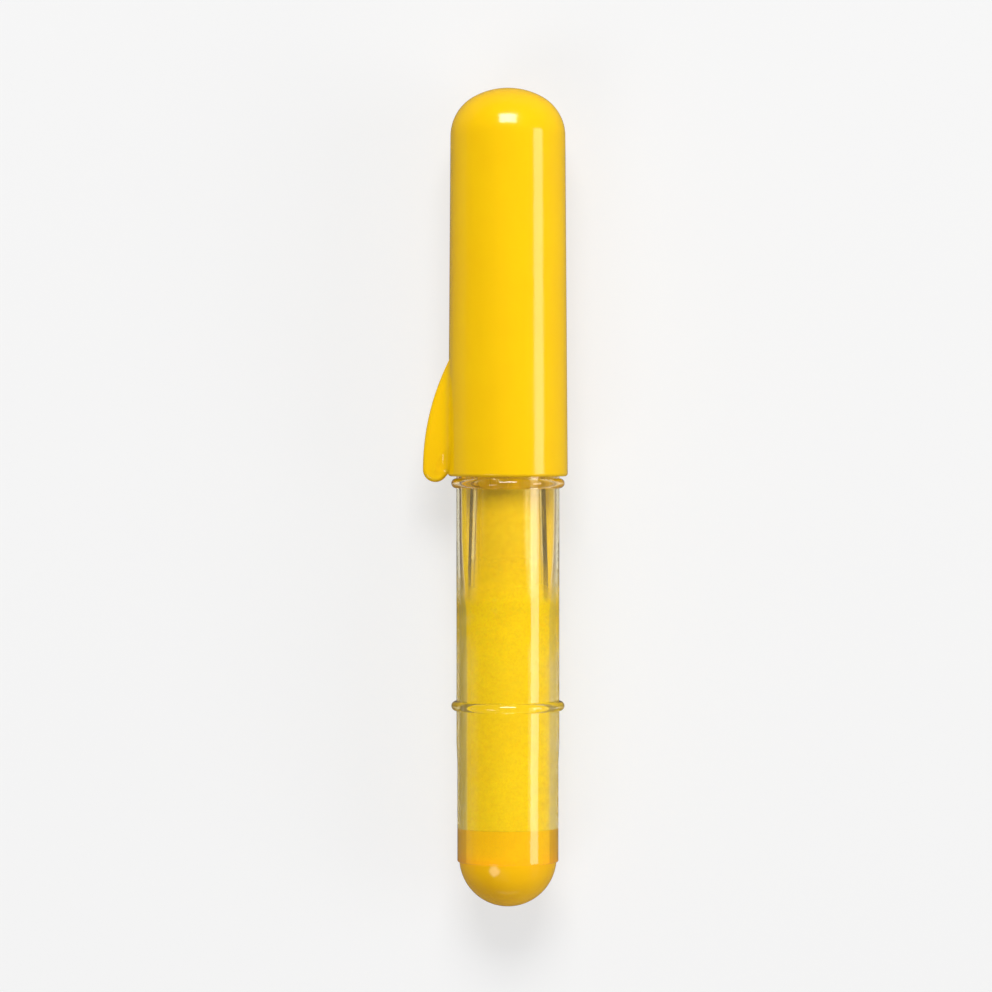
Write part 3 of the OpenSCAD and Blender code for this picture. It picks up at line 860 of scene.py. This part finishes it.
def make_fin():
    """The blade's two sides, raised from rows of points that run from the outline to the foot."""
    count, across = len(fin_edge), 34
    foot_y, soft_from = rim_r - 0.62 * mm, 2.5 * mm
    least_blend_mm, more_blend_mm = 0.35, 1.25
    total = sum((b - a).length for a, b in zip(fin_edge, fin_edge[1:]))
    made = bmesh.new()
    sides = {1: [], -1: []}
    travelled = 0.0
    for i, point in enumerate(fin_edge):
        share = travelled / total
        foot_x = fin_edge[0].x + (fin_edge[-1].x - fin_edge[0].x) * min(share * 1.04, 1) ** 0.92
        foot = Vector((foot_x, foot_y))
        from_rim = min(max((foot_x - rim_x) / soft_from, 0), 1)
        rows = {1: [], -1: []}
        for k in range(across + 1):
            t = (1 - math.cos(math.pi * k / across)) / 2
            spot = point.lerp(foot, t)
            half = 0.0
            if k > 0:
                blend_mm = least_blend_mm + more_blend_mm * from_rim
                half = fin_height(spot.x, spot.y, gap_to_edge(spot), blend_mm)
            for side in (1, -1):
                rows[side].append(made.verts.new((spot.x, axis_y + spot.y, axis_z + side * half)))
        for side in (1, -1):
            sides[side].append(rows[side])
        if i < count - 1:
            travelled += (fin_edge[i + 1] - point).length
    for side in (1, -1):
        for a, b in zip(sides[side], sides[side][1:]):
            for k in range(across):
                made.faces.new((a[k], a[k + 1], b[k + 1], b[k]))
    for i in range(count - 1):
        made.faces.new((sides[1][i][-1], sides[-1][i][-1], sides[-1][i + 1][-1], sides[1][i + 1][-1]))
    return finish_mesh(piece_from(made, "cap_fin", cap_yellow), 60)


fin = make_fin()
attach(fin, "cap")
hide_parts("cap_shell")

# %% [markdown]
# The chalk wheel is the part that does the work: its teeth carry powder out of the slot and onto the cloth.
# It is stamped, so its outline repeats one tooth. The tree starts from a circle with four points a tooth,
# moves two of every four inwards, fills the outline round the pin's hole, and gives the sheet its
# thickness.

# %% The toothed wheel's tree


def wheel_tree():
    points_a_tooth, points_a_hole = 4.0, 48
    tree, given = new_tree("stamped_toothed_wheel", ("Teeth", "Int"), ("Tip radius", "Float"),
                           ("Tooth depth", "Float"), ("Thickness", "Float"), ("Hole radius", "Float"),
                           ("Middle", "Vector"))
    corners = calculate(tree, "MULTIPLY", given["Teeth"], points_a_tooth)
    ring = add(tree, "GeometryNodeCurvePrimitiveCircle", Resolution=corners, Radius=given["Tip radius"])
    index = tree.nodes.new("GeometryNodeInputIndex").outputs[0]
    low = calculate(tree, "LESS_THAN", calculate(tree, "MODULO", index, points_a_tooth), 1.5)
    share = calculate(tree, "DIVIDE", given["Tooth depth"], given["Tip radius"])
    keep = calculate(tree, "SUBTRACT", 1.0, calculate(tree, "MULTIPLY", low, share))
    spot = tree.nodes.new("GeometryNodeInputPosition").outputs[0]
    scaled = add(tree, "ShaderNodeVectorMath", {"operation": "SCALE"}, i0=spot, Scale=keep).outputs[0]
    toothed = add(tree, "GeometryNodeSetPosition", Geometry=ring.outputs[0], Position=scaled).outputs[0]
    hole = add(tree, "GeometryNodeCurvePrimitiveCircle", Resolution=points_a_hole,
               Radius=given["Hole radius"]).outputs[0]
    both = tree.nodes.new("GeometryNodeJoinGeometry")
    for part in (hole, toothed):
        tree.links.new(part, both.inputs[0])
    sheet = add(tree, "GeometryNodeFillCurve", Curve=both.outputs[0]).outputs[0]
    offset = add(tree, "ShaderNodeCombineXYZ", Z=given["Thickness"]).outputs[0]
    thick = add(tree, "GeometryNodeExtrudeMesh", Mesh=sheet, Offset=offset, Offset_Scale=1.0,
                Individual=False).outputs[0]
    under = add(tree, "GeometryNodeFlipFaces", Mesh=sheet).outputs[0]
    solid = tree.nodes.new("GeometryNodeJoinGeometry")
    for part in (under, thick):
        tree.links.new(part, solid.inputs[0])
    half = add(tree, "ShaderNodeVectorMath", {"operation": "SCALE"}, i0=offset, Scale=-0.5).outputs[0]
    centred = add(tree, "GeometryNodeTransform", Geometry=solid.outputs[0], Translation=half).outputs[0]
    stood = add(tree, "GeometryNodeTransform", Geometry=centred, Rotation=(math.pi / 2, 0, 0),
                Translation=given["Middle"]).outputs[0]
    merged = add(tree, "GeometryNodeMergeByDistance", Geometry=stood, Distance=weld).outputs[0]
    end_tree(tree, given, merged)
    return tree


# %% [markdown]
# The tree runs once with the wheel's real sizes. Then a small bevel rounds every edge that the shear left,
# because a stamped edge is never quite sharp and the round is what catches the light.

# %% The chalk wheel
wheel_mid = (wheel_low + wheel_high) / 2
wheel_r = (wheel_high.x - wheel_low.x) / 2
wheel_t = wheel_high.y - wheel_low.y
teeth = 28
tooth_depth = 0.45 * mm
pin_hole_r = 0.64 * mm
sheared_round = 0.04 * mm
wheel = run_tree("chalk_wheel_stamped", wheel_tree(), bpy.data.meshes.new("start"), {
    "Teeth": teeth, "Tip radius": wheel_r, "Tooth depth": tooth_depth, "Thickness": wheel_t,
    "Hole radius": pin_hole_r, "Middle": wheel_mid, "Material": brass})
edges = bmesh.new()
edges.from_mesh(wheel.data)
sheared = [e for e in edges.edges if len(e.link_faces) == 2 and e.calc_face_angle(0) > math.radians(60)]
bmesh.ops.bevel(edges, geom=sheared, offset=sheared_round, segments=2, affect="EDGES", profile=0.7)
edges.to_mesh(wheel.data)
edges.free()
finish_mesh(wheel, 30)
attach(wheel, "wheel")
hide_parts("chalk_wheel")

# %% [markdown]
# The other pieces already have their true shape in the model, so they only get their finish. The replaced
# ones get theirs too, so that no piece is left grey.

# %% Finishes of the model's own pieces
finishes = {"end_plug": plug_yellow, "chalk_powder": chalk_yellow, "chalk_ring": chalk_yellow,
            "inner_cap": liner_white, "wheel_fork": fork_white, "wheel_axle": steel,
            "cap_shell": cap_yellow, "barrel": clear_outside, "nib_holder": clear_outside,
            "chalk_wheel": brass}
for name, finish in finishes.items():
    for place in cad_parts[name].material_slots:
        place.material = finish
print("pieces with a finish:", len(finishes))

# %% [markdown]
# The set is a pale table top. In a product picture the paper looks nearly white while the object keeps its
# contrast, and the kind of ray gives the same here: the camera and clear plastic see pale paper, mirrors
# see a darker top, and bounced light meets a light grey.

# %% Table top


def make_floor():
    floor_r, cloud_mm = 0.9, 40
    paper_level = 0.98
    seen_as_paper = (("Is Camera Ray", 0.7), ("Is Glossy Ray", 0.06))
    material, tree, surface = new_material("matt_table_laminate")
    path = add(tree, "ShaderNodeLightPath").outputs
    pale = blend(tree, noise(tree, cloud_mm, 2), colour("F2F2F2"), colour("F5F5F5"))
    bounced = blend(tree, path["Is Diffuse Ray"], colour("606060"), colour("DFDFDF"))
    tint = blend(tree, path["Is Camera Ray"], bounced, pale)
    top = add(tree, "ShaderNodeBsdfPrincipled", Base_Color=tint, Roughness=0.9, Specular_IOR_Level=0.1)
    paper = add(tree, "ShaderNodeEmission", Color=colour("F5F5F5"), Strength=paper_level)
    share = path["Is Transmission Ray"]
    for ray, part in seen_as_paper:
        share = add(tree, "ShaderNodeMath", {"operation": "MULTIPLY_ADD", "use_clamp": True}, i0=path[ray],
                    i1=part, i2=share).outputs["Value"]
    tree.links.new(over(tree, share, top.outputs["BSDF"], paper.outputs["Emission"]), surface)
    made = bmesh.new()
    bmesh.ops.create_circle(made, cap_ends=True, radius=floor_r, segments=128)
    piece = piece_from(made, "table_top", material)
    return piece


print("set piece:", make_floor().name)

# %% [markdown]
# The sky is a dim light, nearly even upwards and a little stronger on the right. The camera sees it as pale
# as the table. Clear plastic sees its lowest part pale too, which gives the tube its bright edges. Mirrors
# see one pale patch, low behind the tail, so that the glossy cap isn't dark from low down.

# %% Sky
low_level, high_level = 0.16, 0.14
right_level, left_level = 1.25, 0.75
low_sky_top = 0.25
patch_top, patch_side, patch_level = (0.06, 0.16), (-0.98, -0.93), 0.7
world = bpy.data.worlds.new("studio")
scene.world = world
world.use_nodes = True
sky = world.node_tree
sky.nodes.clear()
direction = add(sky, "ShaderNodeTexCoord").outputs["Generated"]
parts = add(sky, "ShaderNodeSeparateXYZ", Vector=direction).outputs
upward = add(sky, "ShaderNodeMapRange", {"interpolation_type": "SMOOTHSTEP"}, Value=parts["Z"],
             From_Min=0.0, From_Max=0.7, To_Min=low_level, To_Max=high_level).outputs["Result"]
level = times(sky, upward, between(sky, parts["Y"], -1.0, 1.0, right_level, left_level))
paths = add(sky, "ShaderNodeLightPath").outputs
through = times(sky, paths["Is Transmission Ray"], between(sky, parts["Z"], 0.0, low_sky_top, 1, 0))
behind = times(sky, between(sky, parts["Z"], *patch_top, 1, 0),
               between(sky, parts["X"], *patch_side, patch_level, 0))
mirrored = times(sky, paths["Is Glossy Ray"], behind)
seen = calculate(sky, "MAXIMUM", calculate(sky, "MAXIMUM", paths["Is Camera Ray"], through), mirrored)
glow = add(sky, "ShaderNodeBackground", Color=colour("FFFFFF"), Strength=level).outputs["Background"]
pale = add(sky, "ShaderNodeBackground", Color=colour("F5F5F5"), Strength=1.0).outputs["Background"]
sky.links.new(over(sky, seen, glow, pale), add(sky, "ShaderNodeOutputWorld").inputs["Surface"])
print("sky nodes:", len(sky.nodes))

# %% [markdown]
# Five area lamps give the shape. A strip low on the right draws the narrow bright line down the whole pen.
# A wide box beyond the cap lights the top and leaves the window on the dome, and a third one lights the
# tail. Two fills soften the darker sides, and mirrors and clear plastic don't show those.

# %% Softboxes
lamp_distance = 1.5


def softbox(name, direction, along, long_side, short_side, radiance):
    """An area lamp that looks at the middle of the pen, with its long side towards along."""
    aim = Vector(direction).normalized()
    side = (Vector(along) - aim * aim.dot(Vector(along))).normalized()
    lamp = bpy.data.lights.new(name, "AREA")
    lamp.shape = "RECTANGLE"
    lamp.size, lamp.size_y = long_side, short_side
    lamp.energy = radiance * math.pi * long_side * short_side
    piece = bpy.data.objects.new(name, lamp)
    scene.collection.objects.link(piece)
    turned = Matrix((side, aim.cross(side), aim)).transposed().to_4x4()
    piece.matrix_world = Matrix.Translation(aim * lamp_distance) @ turned
    return piece


strip_tilt = math.radians(62.5)
softbox("strip_light", (0, -math.sin(strip_tilt), math.cos(strip_tilt)), (1, 0, 0), 0.85, 0.54, 3.3)
box_tilt = math.radians(42.8)
softbox("top_light", (math.sin(box_tilt), 0, math.cos(box_tilt)), (0, 1, 0), 0.8, 0.6, 13.6)
softbox("tail_light", (-0.482, 0.50, 0.718), (0, 0, 1), 0.55, 0.5, 3.2)
fills = [softbox("fill_light", (-0.4, -0.88, 0.26), (1, 0, 0), 1.0, 0.5, 2.7),
         softbox("back_fill_light", (-0.62, 0.3, 0.72), (0, 1, 0), 1.0, 0.6, 1.35)]
for fill in fills:
    fill.visible_glossy = False
    fill.visible_transmission = False
print("lamps:", len(bpy.data.lights))

# %% [markdown]
# The photograph was taken with a long lens from nearly straight above, a little towards the cap.

# %% Camera
eye = Vector((0.0095, -0.0001, 0.65))
looked_at = Vector((0.00023, -0.0001, 0.00878))
right = Vector((0, -1, 0))
lens = bpy.data.cameras.new("camera")
lens.sensor_width = 36
lens.lens = 158.7
lens.clip_start, lens.clip_end = 0.01, 10
camera = bpy.data.objects.new("camera", lens)
scene.collection.objects.link(camera)
scene.camera = camera
back = (eye - looked_at).normalized()
turned = Matrix((right, back.cross(right), back)).transposed().to_4x4()
camera.matrix_world = Matrix.Translation(eye) @ turned
print("camera is", round((eye - looked_at).length, 3), "m from the pen")
